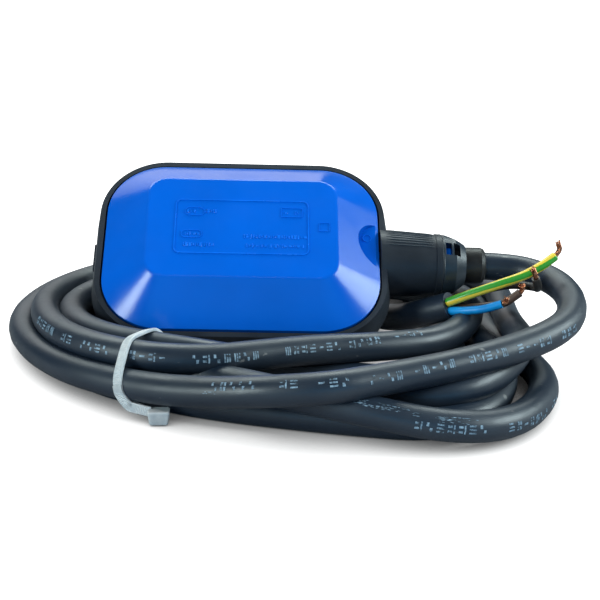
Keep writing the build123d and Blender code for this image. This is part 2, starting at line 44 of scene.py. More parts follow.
# ------------------------------------------------------------------ camera
VIEW_RIGHT = Vector((0.99922, -0.02762, 0.02823)).normalized()
VIEW_UP = Vector((-0.01849, 0.30460, 0.95230)).normalized()
VIEW_BACK = VIEW_RIGHT.cross(VIEW_UP).normalized()
VIEW_POINT = Vector((-0.01186, -0.42907, 0.15342))

camera_data = bpy.data.cameras.new("camera")
camera_data.sensor_width = 36
camera_data.lens = 75
camera_data.clip_start = 10 * MM
camera = bpy.data.objects.new("camera", camera_data)
scene.collection.objects.link(camera)
turned = Matrix((VIEW_RIGHT, VIEW_UP, VIEW_BACK)).transposed().to_4x4()
camera.matrix_world = Matrix.Translation(VIEW_POINT) @ turned
scene.camera = camera
scene.view_settings.view_transform = "Standard"

# ------------------------------------------------------------------ float's own directions
LEAN = math.radians(50)  # the cover's turn up from the floor
COVER_MIDDLE = Vector((-17.15, -5.8617, 37.572)) * MM
ALONG = Vector((1, 0, 0))
UP = Vector((0, math.sin(LEAN), math.cos(LEAN)))
OUT = Vector((0, -math.cos(LEAN), math.sin(LEAN)))
GLAND_DEPTH = 9.0
GLAND_MIDDLE = COVER_MIDDLE - OUT * GLAND_DEPTH * MM


def on_float(along, up, out):
    """World point from millimetres along the gland, up the cover and out of the cover."""
    return COVER_MIDDLE + (ALONG * along + UP * up + OUT * out) * MM


# ------------------------------------------------------------------ cord
CORD_RADIUS = 4.92  # millimetres: the real 5 less what turns press into each other
CORD_GAP = 9.8  # the turns settle this far apart, middle to middle, where there is room
COIL_MIDDLE = (4.0, 0.0)
# Route from the gland to the coil, in millimetres.
LEAD = [
    (61.35, -0.08, 30.68), (77, -0.08, 30.68), (88.5, -6, 29.8), (94.5, -18, 28.5),
    (94.5, -34, 26.8), (88, -50, 24.8), (71, -64, 22.6), (49, -76, 20.8), (27, -85, 19.6),
]
STATIONS = 12
# Distance from the coil's middle and height, at each station of a turn, clockwise from the front.
TURNS = [
    [(92, 18.5), (83.5, 9.6), (89, 7.4), (97.5, 6.5), (100, 6), (97.5, 5.5),
     (96, 5.5), (93, 6), (82, 6), (71, 7.5), (82.5, 14), (93, 13)],
    [(64, 8.5), (56, 5), (60, 5), (66, 5), (72, 5), (72, 5),
     (74, 5), (73, 5), (69, 6), (66, 9), (80, 8), (93, 5)],
    [(76, 5), (75.5, 5), (80, 5), (86, 5), (90, 5), (90, 5),
     (86, 5), (84, 5), (78, 5), (66, 5), (94, 5), (108, 6.5)],
    [(84, 9.5), (67, 7), (68, 8), (76, 6), (82, 6), (81, 9),
     (75, 14), (66, 13), (58, 7), (52, 5), (58, 5), (56, 5)],
    [(49, 5), (63, 13), (81, 14.5), (83, 11.5), (76, 7), (68, 6),
     (62, 6), (56, 7), (54, 8), (60, 9), (57, 12.5), (47.5, 14)],
    [(47.5, 15), (75.5, 15.8), (88, 15.2), (91, 14), (85, 11.5)],
]
# Route from the coil to the bared end.
TAIL = [
    (-14, 47, 15.5), (6, 40, 12.5), (22, 29, 8.5), (33, 14, 6.5),
    (40, 1, 10), (46.5, -8.5, 15), (56, -14.5, 20),
]
# Stations that nearly keep their place as the turns settle: turn, share of the push they take,
# stations. The other stations take the whole push.
HELD = [
    (0, 0.06, (0, 1, 2, 3, 4, 9, 10, 11)),
    (1, 0.3, (0, 10, 11)),
    (2, 0.1, (0, 1, 10, 11)),
    (3, 0.2, (0,)),
    (4, 0.06, (1, 2, 3, 10, 11)),
    (5, 0.02, (0, 1, 2, 3, 4)),
]
TAIL_FREE = [0.5, 0.3] + [0.0] * (len(TAIL) - 2)  # that share for each of the tail's points
SAMPLES = 6  # per control point


def laid_route():
    """The cord's control points before the turns settle, and the share of a push each takes."""
    points = list(LEAD)
    free = [0.0] * len(LEAD)
    held = {(turn, j): share for turn, share, stations in HELD for j in stations}
    widen = 1 / math.cos(math.pi / STATIONS)
    for turn, places in enumerate(TURNS):
        for j, (reach, height) in enumerate(places):
            bearing = math.radians(-90 - 360 / STATIONS * j)
            points.append((
                COIL_MIDDLE[0] + reach * widen * math.cos(bearing),
                COIL_MIDDLE[1] + reach * widen * math.sin(bearing),
                height,
            ))
            free.append(held.get((turn, j), 1.0))
    return np.array(points + TAIL, float), np.array(free + TAIL_FREE)


def spline_weights(count):
    """How much each control point counts at each sample of a clamped second-degree spline.

    They are built up degree by degree, from the one span between knots that holds the sample.
    """
    knots = np.concatenate([[0, 0], np.arange(count - 1), [count - 2] * 2]).astype(float)
    places = np.linspace(0, count - 2, (count - 2) * SAMPLES + 1)
    places[-1] -= 1e-9
    weights = np.zeros((len(places), count))
    for row, t in enumerate(places):
        span = min(int(t), count - 3) + 2
        counts = np.zeros(3)
        counts[0] = 1
        for degree in (1, 2):
            carried = 0.0
            for j in range(degree):
                right = knots[span + j + 1]
                left = knots[span + 1 - degree + j]
                share = counts[j] / (right - left)
                counts[j] = carried + (right - t) * share
                carried = (t - left) * share
            counts[degree] = carried
        weights[row, span - 2:span + 1] = counts
    return weights


# The casing's half sizes at a few levels along OUT, in millimetres.
CASING_LEVELS = (-29.75, -18, -9, 0, 11.75)
CASING_HALF_LENGTH = (36.4, 50.4, 52.2, 50.5, 32.6)
CASING_HALF_HEIGHT = (23, 37, 38.4, 36.8, 20.4)
CASING_CORNER = 24
CASING_MARGIN = 6  # the cord's radius and a little air
CASING_BACK = CASING_LEVELS[0] - 5  # the push works between these two levels
CASING_FRONT = 16
CASING_CENTRE = np.array([-17.0, -5.0, 0.0])  # the push points away from here


def casing_push(points):
    """How to move points that are too close to the casing, outwards and level with the floor."""
    middle = np.array(COVER_MIDDLE) / MM
    local = (points - middle) @ np.array([ALONG, UP, OUT]).T
    level = local[:, 2]
    half_length = np.interp(level, CASING_LEVELS, CASING_HALF_LENGTH) + CASING_MARGIN
    half_height = np.interp(level, CASING_LEVELS, CASING_HALF_HEIGHT) + CASING_MARGIN
    x = np.abs(local[:, 0]) - (half_length - CASING_CORNER)
    y = np.abs(local[:, 1]) - (half_height - CASING_CORNER)
    outside = np.hypot(np.maximum(x, 0), np.maximum(y, 0)) + np.minimum(np.maximum(x, y), 0)
    depth = outside - CASING_CORNER
    inside = (level > CASING_BACK) & (level < CASING_FRONT) & (depth < 0)
    away = points - CASING_CENTRE
    away[:, 2] = 0
    away /= np.linalg.norm(away, axis=1)[:, None] + 1e-9
    push = np.zeros_like(points)
    push[inside] = away[inside] * -depth[inside][:, None]
    return push


ROUNDS = 300
FIRM_ROUNDS = ROUNDS * 0.7  # after these the hold is weaker
HOLD = 0.02  # share of the way back to its first place that each point takes in a round
WEAK_HOLD = 0.3
CASING_SHARE = 0.5  # share of the casing's push taken in a round
OVERSHOOT = 1.6  # more than the whole push, so that fewer rounds do
LOWEST_LINE = 5.0  # the cord's real radius
NEIGHBOURS = SAMPLES * 3  # samples nearer than this along the cord don't push each other


def settled_route():
    """Lets the turns push each other apart until they lie side by side."""
    start, free = laid_route()
    points = start.copy()
    weights = spline_weights(len(points))
    order = np.arange(len(weights))
    apart = np.abs(order[:, None] - order[None]) > NEIGHBOURS
    share = weights.sum(0)[:, None]
    for step in range(ROUNDS):
        line = weights @ points
        gap = line[:, None] - line[None]
        length = np.linalg.norm(gap, axis=2)
        close = apart & (length < CORD_GAP)
        direction = gap / (length[..., None] + 1e-9)
        part = np.where(close[..., None], direction * ((CORD_GAP - length) / 2)[..., None], 0)
        push = part.sum(1) / np.maximum(close.sum(1), 1)[:, None]
        push += casing_push(line) * CASING_SHARE
        push[:, 2] -= np.minimum(line[:, 2] - LOWEST_LINE, 0)
        points += weights.T @ push / share * OVERSHOOT * free[:, None]
        points += (start - points) * HOLD * (1.0 if step < FIRM_ROUNDS else WEAK_HOLD)
        points[:, 2] = np.maximum(points[:, 2], LOWEST_LINE)
    return points


def line_object(name, points, radius):
    """A smooth curve with a round section, drawn by its control points."""
    data = bpy.data.curves.new(name, "CURVE")
    data.dimensions = "3D"
    data.resolution_u = 10
    data.bevel_depth = radius
    data.bevel_resolution = 7
    data.use_fill_caps = True
    spline = data.splines.new("NURBS")
    spline.points.add(len(points) - 1)
    for place, point in zip(spline.points, points):
        place.co = (*point, 1)
    spline.order_u = 3
    spline.use_endpoint_u = True
    made = bpy.data.objects.new(name, data)
    scene.collection.objects.link(made)
    return made


def centreline(source):
    """Points along a curve object's middle, read with its section taken away for a moment."""
    depth = source.data.bevel_depth
    source.data.bevel_depth = 0
    source.data.use_fill_caps = False
    bpy.context.view_layer.update()
    mesh = bpy.data.meshes.new_from_object(source)
    points = np.array([v.co[:] for v in mesh.vertices])
    bpy.data.meshes.remove(mesh)
    source.data.bevel_depth = depth
    source.data.use_fill_caps = True
    return points


route = settled_route() * MM
cable = line_object("supply_cable", route, CORD_RADIUS * MM)
cable_line = centreline(cable)
cable_steps = np.linalg.norm(np.diff(cable_line, axis=0), axis=1)
cable_marks = np.concatenate([[0], np.cumsum(cable_steps)])


# ------------------------------------------------------------------ mesh helpers
def link_mesh(name, bm, material, smooth=True):
    """Makes the finished bmesh a piece of the object that rides its one outer body."""
    bmesh.ops.recalc_face_normals(bm, faces=bm.faces)
    mesh = bpy.data.meshes.new(name)
    bm.to_mesh(mesh)
    bm.free()
    made = bpy.data.objects.new(name, mesh)
    scene.collection.objects.link(made)
    for face in mesh.polygons:
        face.use_smooth = smooth
    mesh.materials.append(material)
    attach(made, "root")
    return made


def frames_along(points):
    """Tangent and two side directions at each point, turning as little as they can."""
    points = np.asarray(points, float)
    tangent = np.gradient(points, axis=0)
    tangent /= np.linalg.norm(tangent, axis=1)[:, None] + 1e-12
    side = np.cross(tangent[0], (0.0, 0.0, 1.0))
    if np.linalg.norm(side) < 0.1:
        side = np.cross(tangent[0], (1.0, 0.0, 0.0))
    sides = []
    for t in tangent:
        side = side - t * np.dot(side, t)
        side /= np.linalg.norm(side)
        sides.append(side.copy())
    sides = np.array(sides)
    return tangent, sides, np.cross(tangent, sides)


def bridge(bm, rings, closed=False):
    """Faces between neighbouring rings, and between the last and the first if closed."""
    followers = rings[1:] + rings[:1] if closed else rings[1:]
    for a, b in zip(rings, followers):
        for j in range(len(a)):
            k = (j + 1) % len(a)
            bm.faces.new((a[j], a[k], b[k], b[j]))


def cap(bm, rings):
    """Closes both ends of a row of rings."""
    bm.faces.new(rings[-1])
    bm.faces.new(reversed(rings[0]))


def tube(bm, points, radii, sides=12, layer=None, phase=0.0, twist=0.0):
    """A round tube along points; layer, if given, stores the place around it from 0 to 1."""
    _, first, second = frames_along(points)
    rings = []
    count = len(points)
    for k in range(count):
        ring = []
        for j in range(sides):
            angle = 2 * math.pi * j / sides
            offset = first[k] * math.cos(angle) + second[k] * math.sin(angle)
            vert = bm.verts.new(Vector(points[k]) + Vector(offset) * radii[k])
            if layer is not None:
                turned_by = angle + phase + twist * k / (count - 1)
                vert[layer] = 0.5 + 0.5 * math.cos(turned_by)
            ring.append(vert)
        rings.append(ring)
    bridge(bm, rings)
    cap(bm, rings)


def through(points, steps):
    """A smooth line through every point, with steps pieces between neighbours."""
    p = np.array(points, float)
    ends = np.vstack([2 * p[0] - p[1], p, 2 * p[-1] - p[-2]])
    line = []
    for k in range(1, len(ends) - 2):
        a, b, c, d = ends[k - 1:k + 3]
        for s in range(steps):
            t = s / steps
            line.append(0.5 * (
                2 * b + (c - a) * t + (2 * a - 5 * b + 4 * c - d) * t * t
                + (3 * b - a - 3 * c + d) * t ** 3
            ))
    line.append(p[-1])
    return np.array(line)


def rounded_ring(bm, place, half_x, half_y, corner, level, steps):
    """Points around a rounded rectangle, steps to a corner; place turns x, y, level into a point."""
    ring = []
    for quarter in range(4):
        cx = (half_x - corner) * (1, -1, -1, 1)[quarter]
        cy = (half_y - corner) * (1, 1, -1, -1)[quarter]
        for s in range(steps + 1):
            angle = math.pi / 2 * (quarter + s / steps)
            x = cx + corner * math.cos(angle)
            y = cy + corner * math.sin(angle)
            ring.append(bm.verts.new(place(x, y, level)))
    return ring


def box_ring(bm, place, outer, inner, low, high):
    """A raised frame: outer and inner are (half length, half height, corner)."""
    edges = ((outer, low), (outer, high), (inner, high), (inner, low))
    bridge(bm, [rounded_ring(bm, place, *size, level, 6) for size, level in edges], closed=True)


def soft_pad(bm, place, half_x, half_y, corner, low, high):
    """A small raised pad with rounded corners and a chamfered top edge."""
    chamfer = min(0.08, 0.3 * min(half_x, half_y))
    rings = []
    for shrink, level in ((0, low), (0, high - chamfer), (chamfer, high)):
        tight = max(corner - shrink, 0.01)
        rings.append(rounded_ring(bm, place, half_x - shrink, half_y - shrink, tight, level, 4))
    bridge(bm, rings)
    cap(bm, rings)


# ------------------------------------------------------------------ materials
def plain(name, colour, roughness, metallic=0.0, specular=0.5):
    """A material of one colour, with its nodes, links and shader for more to be added."""
    material = bpy.data.materials.new(name)
    material.use_nodes = True
    shader = material.node_tree.nodes["Principled BSDF"]
    shader.inputs["Base Color"].default_value = (*colour, 1)
    shader.inputs["Roughness"].default_value = roughness
    shader.inputs["Metallic"].default_value = metallic
    shader.inputs["Specular IOR Level"].default_value = specular
    return material, material.node_tree.nodes, material.node_tree.links, shader


def noise(nodes, links, scale, detail=4.0, stretch=None):
    """Noise that stays with the object; stretch scales it by axis."""
    texture = nodes.new("ShaderNodeTexNoise")
    texture.inputs["Scale"].default_value = scale
    texture.inputs["Detail"].default_value = detail
    place = nodes.new("ShaderNodeTexCoord")
    if stretch:
        mapping = nodes.new("ShaderNodeMapping")
        mapping.inputs["Scale"].default_value = stretch
        links.new(place.outputs["Object"], mapping.inputs["Vector"])
        links.new(mapping.outputs["Vector"], texture.inputs["Vector"])
    else:
        links.new(place.outputs["Object"], texture.inputs["Vector"])
    return texture


def ramp(nodes, links, source, stops):
    """Colours by place along the source's value, each stop a place and a colour."""
    node = nodes.new("ShaderNodeValToRGB")
    links.new(source, node.inputs["Fac"])
    elements = node.color_ramp.elements
    for element, (place, colour) in zip(elements, (stops[0], stops[-1])):
        element.position = place
        element.color = (*colour, 1)
    for place, colour in stops[1:-1]:
        element = elements.new(place)
        element.color = (*colour, 1)
    return node


def spread(nodes, links, source, low, high):
    """The middle of a noise's values, spread from low to high."""
    node = nodes.new("ShaderNodeMapRange")
    node.inputs["From Min"].default_value = 0.3
    node.inputs["From Max"].default_value = 0.7
    node.inputs["To Min"].default_value = low
    node.inputs["To Max"].default_value = high
    links.new(source, node.inputs["Value"])
    return node


def bumped(nodes, links, shader, source, strength, distance, onto=None):
    """Relief from the source's value, distance metres deep, over another bump if onto is one."""
    node = nodes.new("ShaderNodeBump")
    node.inputs["Strength"].default_value = strength
    node.inputs["Distance"].default_value = distance
    links.new(source, node.inputs["Height"])
    if onto:
        links.new(onto.outputs["Normal"], node.inputs["Normal"])
    links.new(node.outputs["Normal"], shader.inputs["Normal"])
    return node


def grained(name, dark, light, rough_low, rough_high, patch, grain, depth, **extra):
    """Moulded surface: soft patches of colour, uneven gloss and a fine grain."""
    material, nodes, links, shader = plain(name, light, rough_low, **extra)
    patches = noise(nodes, links, patch)
    colour = ramp(nodes, links, patches.outputs["Fac"], ((0.35, dark), (0.65, light)))
    links.new(colour.outputs["Color"], shader.inputs["Base Color"])
    speckle = noise(nodes, links, grain, 2.0)
    gloss = noise(nodes, links, patch * 2.7)
    uneven = spread(nodes, links, gloss.outputs["Fac"], rough_low, rough_high)
    links.new(uneven.outputs["Result"], shader.inputs["Roughness"])
    bumped(nodes, links, shader, speckle.outputs["Fac"], 0.6, depth)
    return material


# Each has its name, darker and lighter colour, least and most roughness, and then how fine its
# patches are, how fine its grain is and how deep the grain is in metres.
black_shell = grained(
    "black_grained_plastic", (0.012, 0.016, 0.023), (0.022, 0.028, 0.038),
    0.40, 0.54, 60, 2600, 0.00007, specular=0.4,
)
gland_black = grained(
    "black_gland_plastic", (0.010, 0.018, 0.028), (0.019, 0.030, 0.044),
    0.34, 0.46, 90, 1800, 0.00004, specular=0.6,
)
seal_rubber = grained(
    "black_seal_rubber", (0.008, 0.008, 0.009), (0.014, 0.014, 0.015),
    0.4, 0.55, 120, 2200, 0.00003, specular=0.45,
)
blue_cover = grained(
    "gloss_blue_plastic", (0.0, 0.098, 0.54), (0.0, 0.110, 0.60),
    0.18, 0.25, 40, 2300, 0.000022, specular=0.4,
)
blue_mark = grained(
    "gloss_blue_relief", (0.0, 0.115, 0.62), (0.002, 0.15, 0.72),
    0.2, 0.3, 80, 2300, 0.00002,
)
blue_core = grained(
    "blue_core_plastic", (0.0, 0.23, 0.62), (0.005, 0.32, 0.78),
    0.3, 0.42, 160, 2400, 0.00002,
)
brown_core = grained(
    "brown_core_plastic", (0.055, 0.032, 0.024), (0.10, 0.058, 0.042),
    0.36, 0.5, 160, 2400, 0.00002, specular=0.45,
)
black_core = grained(
    "black_core_plastic", (0.018, 0.016, 0.015), (0.035, 0.03, 0.027),
    0.36, 0.5, 160, 2400, 0.00002, specular=0.45,
)
white_nylon = grained(
    "natural_nylon", (0.70, 0.69, 0.62), (0.80, 0.79, 0.74),
    0.35, 0.5, 90, 1500, 0.00002,
)
resin = grained(
    "potting_resin", (0.03, 0.027, 0.025), (0.06, 0.054, 0.048),
    0.15, 0.3, 60, 500, 0.00003,
)
switch_black = grained(
    "switch_case_black", (0.02, 0.02, 0.02), (0.035, 0.035, 0.034),
    0.4, 0.55, 120, 2600, 0.00003,
)
switch_red = grained(
    "switch_red_plastic", (0.46, 0.02, 0.015), (0.6, 0.035, 0.025),
    0.25, 0.4, 200, 2600, 0.00002,
)
zinc = grained(
    "zinc_plated_steel", (0.50, 0.50, 0.49), (0.66, 0.66, 0.63),
    0.28, 0.45, 150, 3000, 0.00001, metallic=1.0,
)
steel = grained(
    "polished_steel", (0.66, 0.66, 0.67), (0.78, 0.78, 0.79),
    0.06, 0.14, 80, 1200, 0.000002, metallic=1.0,
)
brass = grained(
    "tinned_brass", (0.66, 0.52, 0.26), (0.80, 0.64, 0.34),
    0.25, 0.4, 200, 2500, 0.00001, metallic=1.0,
)


def cable_material():
    """Satin rubber, a little cloudy and wavy, with a fine grain and a few pale scuffs."""
    material, nodes, links, shader = plain("cable_sheath_rubber", (0.02, 0.022, 0.026), 0.42, specular=0.7)
    cloud = noise(nodes, links, 28, 5.0)
    colour = ramp(nodes, links, cloud.outputs["Fac"], (
        (0.3, (0.005, 0.012, 0.024)), (0.55, (0.009, 0.0175, 0.032)), (0.75, (0.018, 0.027, 0.042)),
    ))
    scuff = noise(nodes, links, 150, 6.0, (1.0, 1.6, 2.2))
    worn = ramp(nodes, links, scuff.outputs["Fac"], ((0.70, (0, 0, 0)), (0.76, (1, 1, 1))))
    mix = nodes.new("ShaderNodeMix")
    mix.data_type = "RGBA"
    links.new(worn.outputs["Color"], mix.inputs["Factor"])
    links.new(colour.outputs["Color"], mix.inputs["A"])
    mix.inputs["B"].default_value = (0.14, 0.145, 0.15, 1)
    links.new(mix.outputs["Result"], shader.inputs["Base Color"])
    gloss = noise(nodes, links, 70, 4.0)
    uneven = spread(nodes, links, gloss.outputs["Fac"], 0.38, 0.52)
    links.new(uneven.outputs["Result"], shader.inputs["Roughness"])
    grain = noise(nodes, links, 1500, 3.0)
    wavy = noise(nodes, links, 90, 2.0)
    first = bumped(nodes, links, shader, wavy.outputs["Fac"], 0.35, 0.0004)
    bumped(nodes, links, shader, grain.outputs["Fac"], 0.35, 0.00004, first)
    return material


def print_material():
    """Pale ink that has worn thin in places."""
    material, nodes, links, shader = plain("pale_print", (0.24, 0.36, 0.46), 0.5, specular=0.4)
    wear = noise(nodes, links, 900, 5.0)
    colour = ramp(nodes, links, wear.outputs["Fac"], (
        (0.38, (0.03, 0.04, 0.05)), (0.5, (0.13, 0.20, 0.27)), (0.66, (0.24, 0.35, 0.44)),
    ))
    links.new(colour.outputs["Color"], shader.inputs["Base Color"])
    bumped(nodes, links, shader, wear.outputs["Fac"], 0.2, 0.00002)
    return material


def earth_material():
    """Yellow insulation with a green stripe, painted from the place around the core."""
    material, nodes, links, shader = plain("earth_core_plastic", (0.8, 0.65, 0.05), 0.34)
    around = nodes.new("ShaderNodeAttribute")
    around.attribute_name = "around"
    ragged = noise(nodes, links, 700, 2.0)
    edge = nodes.new("ShaderNodeMath")
    edge.operation = "MULTIPLY_ADD"
    links.new(ragged.outputs["Fac"], edge.inputs[0])
    edge.inputs[1].default_value = 0.03
    links.new(around.outputs["Fac"], edge.inputs[2])
    yellow = (0.80, 0.60, 0.055)
    green = (0.035, 0.30, 0.025)
    colour = ramp(nodes, links, edge.outputs["Value"], ((0.895, yellow), (0.93, green)))
    links.new(colour.outputs["Color"], shader.inputs["Base Color"])
    gloss = noise(nodes, links, 240)
    uneven = spread(nodes, links, gloss.outputs["Fac"], 0.28, 0.42)
    links.new(uneven.outputs["Result"], shader.inputs["Roughness"])
    return material


def copper_material():
    """Bare copper, tarnished in places."""
    material, nodes, links, shader = plain("bare_copper", (0.75, 0.30, 0.16), 0.3, metallic=1.0)
    tarnish = noise(nodes, links, 900, 4.0)
    colour = ramp(nodes, links, tarnish.outputs["Fac"], (
        (0.3, (0.36, 0.12, 0.06)), (0.5, (0.72, 0.29, 0.15)), (0.7, (0.90, 0.48, 0.30)),
    ))
    links.new(colour.outputs["Color"], shader.inputs["Base Color"])
    uneven = spread(nodes, links, tarnish.outputs["Fac"], 0.24, 0.42)
    links.new(uneven.outputs["Result"], shader.inputs["Roughness"])
    return material


def tie_material():
    """Milky nylon that lets some light through."""
    material, nodes, links, shader = plain("milky_nylon", (0.80, 0.83, 0.84), 0.34)
    shader.inputs["Transmission Weight"].default_value = 0.18
    shader.inputs["Subsurface Weight"].default_value = 0.35
    shader.inputs["Subsurface Radius"].default_value = (0.004, 0.004, 0.004)
    shader.inputs["Subsurface Scale"].default_value = 0.6
    milk = noise(nodes, links, 300, 3.0)
    colour = ramp(nodes, links, milk.outputs["Fac"], ((0.3, (0.48, 0.53, 0.56)), (0.7, (0.68, 0.71, 0.72))))
    links.new(colour.outputs["Color"], shader.inputs["Base Color"])
    bumped(nodes, links, shader, milk.outputs["Fac"], 0.15, 0.0001)
    return material


cable_rubber = cable_material()
pale_print = print_material()
earth_stripe = earth_material()
copper = copper_material()
tie_nylon = tie_material()

NODE_MATERIALS = {
    "body_shell": black_shell, "front_cover": blue_cover, "cover_seal": seal_rubber,
    "gland_nose": gland_black, "seal_bush": seal_rubber, "clamp_ring": blue_cover,
    "thrust_washer": white_nylon, "potting_seal": resin, "cable_entry": cable_rubber,
    "cable": cable_rubber, "cable_coil": cable_rubber, "cable_end": cable_rubber,
    "core_blue": blue_core, "core_brown": brown_core, "core_black": black_core,
    "wire_blue": blue_core, "wire_brown": brown_core, "wire_black": black_core,
    "wire_earth": earth_stripe, "earth_cap": white_nylon,
    "switch_tray": white_nylon, "tray_lid": white_nylon, "lid_screws": zinc,
    "steel_ball": steel, "switch_lever": zinc, "lever_pin": steel,
    "microswitch_case": switch_black, "microswitch_lid": switch_red, "plunger": switch_red,
    "contact_blade": brass, "terminal_closed": brass, "terminal_common": brass,
    "terminal_open": brass,
}
# A node left out of the list is replaced by a piece below, so its material is never seen.
for name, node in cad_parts.items():
    node.data.materials.clear()
    node.data.materials.append(NODE_MATERIALS.get(name, black_shell))

cable.data.materials.append(cable_rubber)
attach(cable, "root")
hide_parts("cable", "cable_coil", "cable_end")


# ------------------------------------------------------------------ cores and their bare ends
# The earth core's line from the sheath to where it is bared, in millimetres.
EARTH = [
    (54.65, -15.5, 21.4), (62, -18.5, 25.6), (72, -21, 30.4), (79, -22, 33.6), (85, -21.5, 37),
    (90, -20, 40.3),
]
CORE_RADIUS = 1.6
CUT_EDGE = 0.93  # the cut end's radius, as a share of the core's
STRIPE_START = 1.0  # the green stripe's place around the core at the sheath, as an angle
STRIPE_TWIST = -1.45  # how far it has turned by the bared end
bm = bmesh.new()
around = bm.verts.layers.float.new("around")
core_line = through(np.array(EARTH) * MM, 10)
core_radii = [CORE_RADIUS * MM] * len(core_line)
core_radii[-1] *= CUT_EDGE
tube(bm, core_line, core_radii, sides=40, layer=around, phase=STRIPE_START, twist=STRIPE_TWIST)
core_earth = link_mesh("earth_core", bm, earth_stripe)
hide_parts("core_earth")

# Where each core's bare strands run, replacing the plain ends.
COPPER_ENDS = {
    "copper_earth": ((90, -20, 40.3), (91.2, -20, 42.8), (90.2, -20, 45.8)),
    "copper_blue": ((72, -24.5, 24.2), (73.2, -25, 25.2), (73, -25.4, 26.8)),
    "copper_brown": ((79, -20, 27), (79.6, -20.3, 28.4), (79.2, -20.6, 30)),
    "copper_black": ((82.6, -26, 34), (82, -26.2, 35.8), (80.8, -26, 38)),
}
STRAND_RADIUS = 0.16
STRAND_RINGS = ((1, 0.0), (6, 0.36), (12, 0.74))  # strands in each ring and its radius
STRAND_SPIN = 2.4  # the strands' twist from end to end, as an angle
STRAND_TIP = 0.6  # a cut strand's last radius, as a share of its own
FLARE_FROM = 0.55  # share of the length after which the strands spread
FLARES = (0.75, 1.9)  # least and most that a strand's ring is multiplied by at its end
MOST_SHORT = 3  # a strand ends up to this many points before the longest
STRAND_SEED = 40


def strand(bm, line, first, second, ring_radius, base, draw):
    """One strand beside the line, flaring and ending as the draw says."""
    flare = draw.uniform(*FLARES)
    used = len(line) - draw.integers(0, MOST_SHORT + 1)
    spun = []
    for k in range(used):
        t = k / (len(line) - 1)
        angle = base + STRAND_SPIN * t
        spreading = max(0.0, t - FLARE_FROM) / (1 - FLARE_FROM)
        out = ring_radius * (1.0 + (flare - 1.0) * spreading) * MM
        spun.append(line[k] + first[k] * math.cos(angle) * out + second[k] * math.sin(angle) * out)
    radii = [STRAND_RADIUS * MM] * used
    radii[-1] *= STRAND_TIP
    tube(bm, spun, radii, sides=7)


for which, (node_name, ends) in enumerate(COPPER_ENDS.items()):
    draw = np.random.default_rng(STRAND_SEED + which)
    line = through(np.array(ends) * MM, 8)
    _, first, second = frames_along(line)
    bm = bmesh.new()
    for count, ring_radius in STRAND_RINGS:
        for j in range(count):
            base = 2 * math.pi * j / count + draw.uniform(-0.15, 0.15)
            strand(bm, line, first, second, ring_radius, base, draw)
    strands = link_mesh(node_name + "_strands", bm, copper)
    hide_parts(node_name)


# ------------------------------------------------------------------ print on the cable
cable_tangent, _, _ = frames_along(cable_line)


def cable_place(length, angle, radius):
    """A point on the cable's side: angle is turned up from level, away from the coil's middle."""
    point = np.array([np.interp(length, cable_marks, cable_line[:, k]) for k in range(3)])
    tangent = np.array([np.interp(length, cable_marks, cable_tangent[:, k]) for k in range(3)])
    tangent /= np.linalg.norm(tangent)
    outward = np.array([point[0] - COIL_MIDDLE[0] * MM, point[1] - COIL_MIDDLE[1] * MM, 0.0])
    outward -= tangent * np.dot(outward, tangent)
    outward /= np.linalg.norm(outward)
    upward = np.cross(tangent, outward)
    if upward[2] < 0:
        upward = -upward
    return point + (outward * math.cos(angle) + upward * math.sin(angle)) * radius


PRINT_LIFT = 0.035  # millimetres above the rubber
RUB_LIFT = 0.02
COLUMN_STEP = 0.6  # a bar bends with the cable at this step, in millimetres
ROWS_PER_RADIAN = 6


def stroke(bm, start, width, low, high, lift):
    """One thin printed bar, wrapped on the cable between two angles, lift above the rubber."""
    columns = max(1, round(width / COLUMN_STEP))
    rows = max(2, round((high - low) * ROWS_PER_RADIAN))
    grid = []
    for c in range(columns + 1):
        column = []
        for r in range(rows + 1):
            angle = low + (high - low) * r / rows
            column.append(bm.verts.new(
                cable_place(start + width * MM * c / columns, angle, (CORD_RADIUS + lift) * MM)
            ))
        grid.append(column)
    for a, b in zip(grid, grid[1:]):
        for r in range(rows):
            bm.faces.new((a[r], b[r], b[r + 1], a[r + 1]))


# Printed groups: from, to (millimetres along the cable), angle in degrees of the middle at each end.
PRINTED = [
    (74, 84, 10, 15), (87, 103, 17, 28), (105, 120, 29, 35), (124, 139, 35, 30), (142, 155, 28, 28),
    (159, 168, 36, 42), (172, 179, 44, 46), (184, 199, 46, 40),
    (2560, 2573, 66, 50), (2576, 2588, 46, 30), (2590, 2612, 30, 24), (2619, 2641, 22, 20),
    (2646, 2661, 20, 20), (2664, 2676, 20, 21), (2679, 2686, 22, 23), (2689, 2703, 24, 27),
    (1672, 1680, 2, 3), (1684, 1706, 3, 9), (1711, 1731, 10, 4),
]
GLYPH_PITCH = 2.95
GLYPH_WIDTH = 2.0
GLYPH_HALF = 0.27  # half a mark's height, as an angle around the cable
GLYPHS = (  # bars of one mark: start and width in millimetres, lower and upper edge from -1 to 1
    ((0.0, 0.45, -1, 1), (0.7, 0.45, -1, 1), (1.4, 0.45, -1, 1)),
    ((0.0, 2.0, 0.6, 1), (0.0, 2.0, -0.2, 0.2), (0.0, 2.0, -1, -0.6)),
    ((0.1, 0.75, 0.15, 1), (1.15, 0.75, -1, -0.15)),
    ((0.1, 0.75, -1, -0.15), (1.15, 0.75, 0.15, 1)),
    ((0.1, 0.75, 0.15, 1), (1.15, 0.75, 0.15, 1), (0.1, 0.75, -1, -0.15), (1.15, 0.75, -1, -0.15)),
    ((0.2, 1.6, -0.22, 0.22),),
    ((0.0, 0.45, -1, 1), (0.8, 1.2, 0.3, 0.8), (0.8, 1.2, -0.8, -0.3)),
)
bm = bmesh.new()
draw = np.random.default_rng(7)
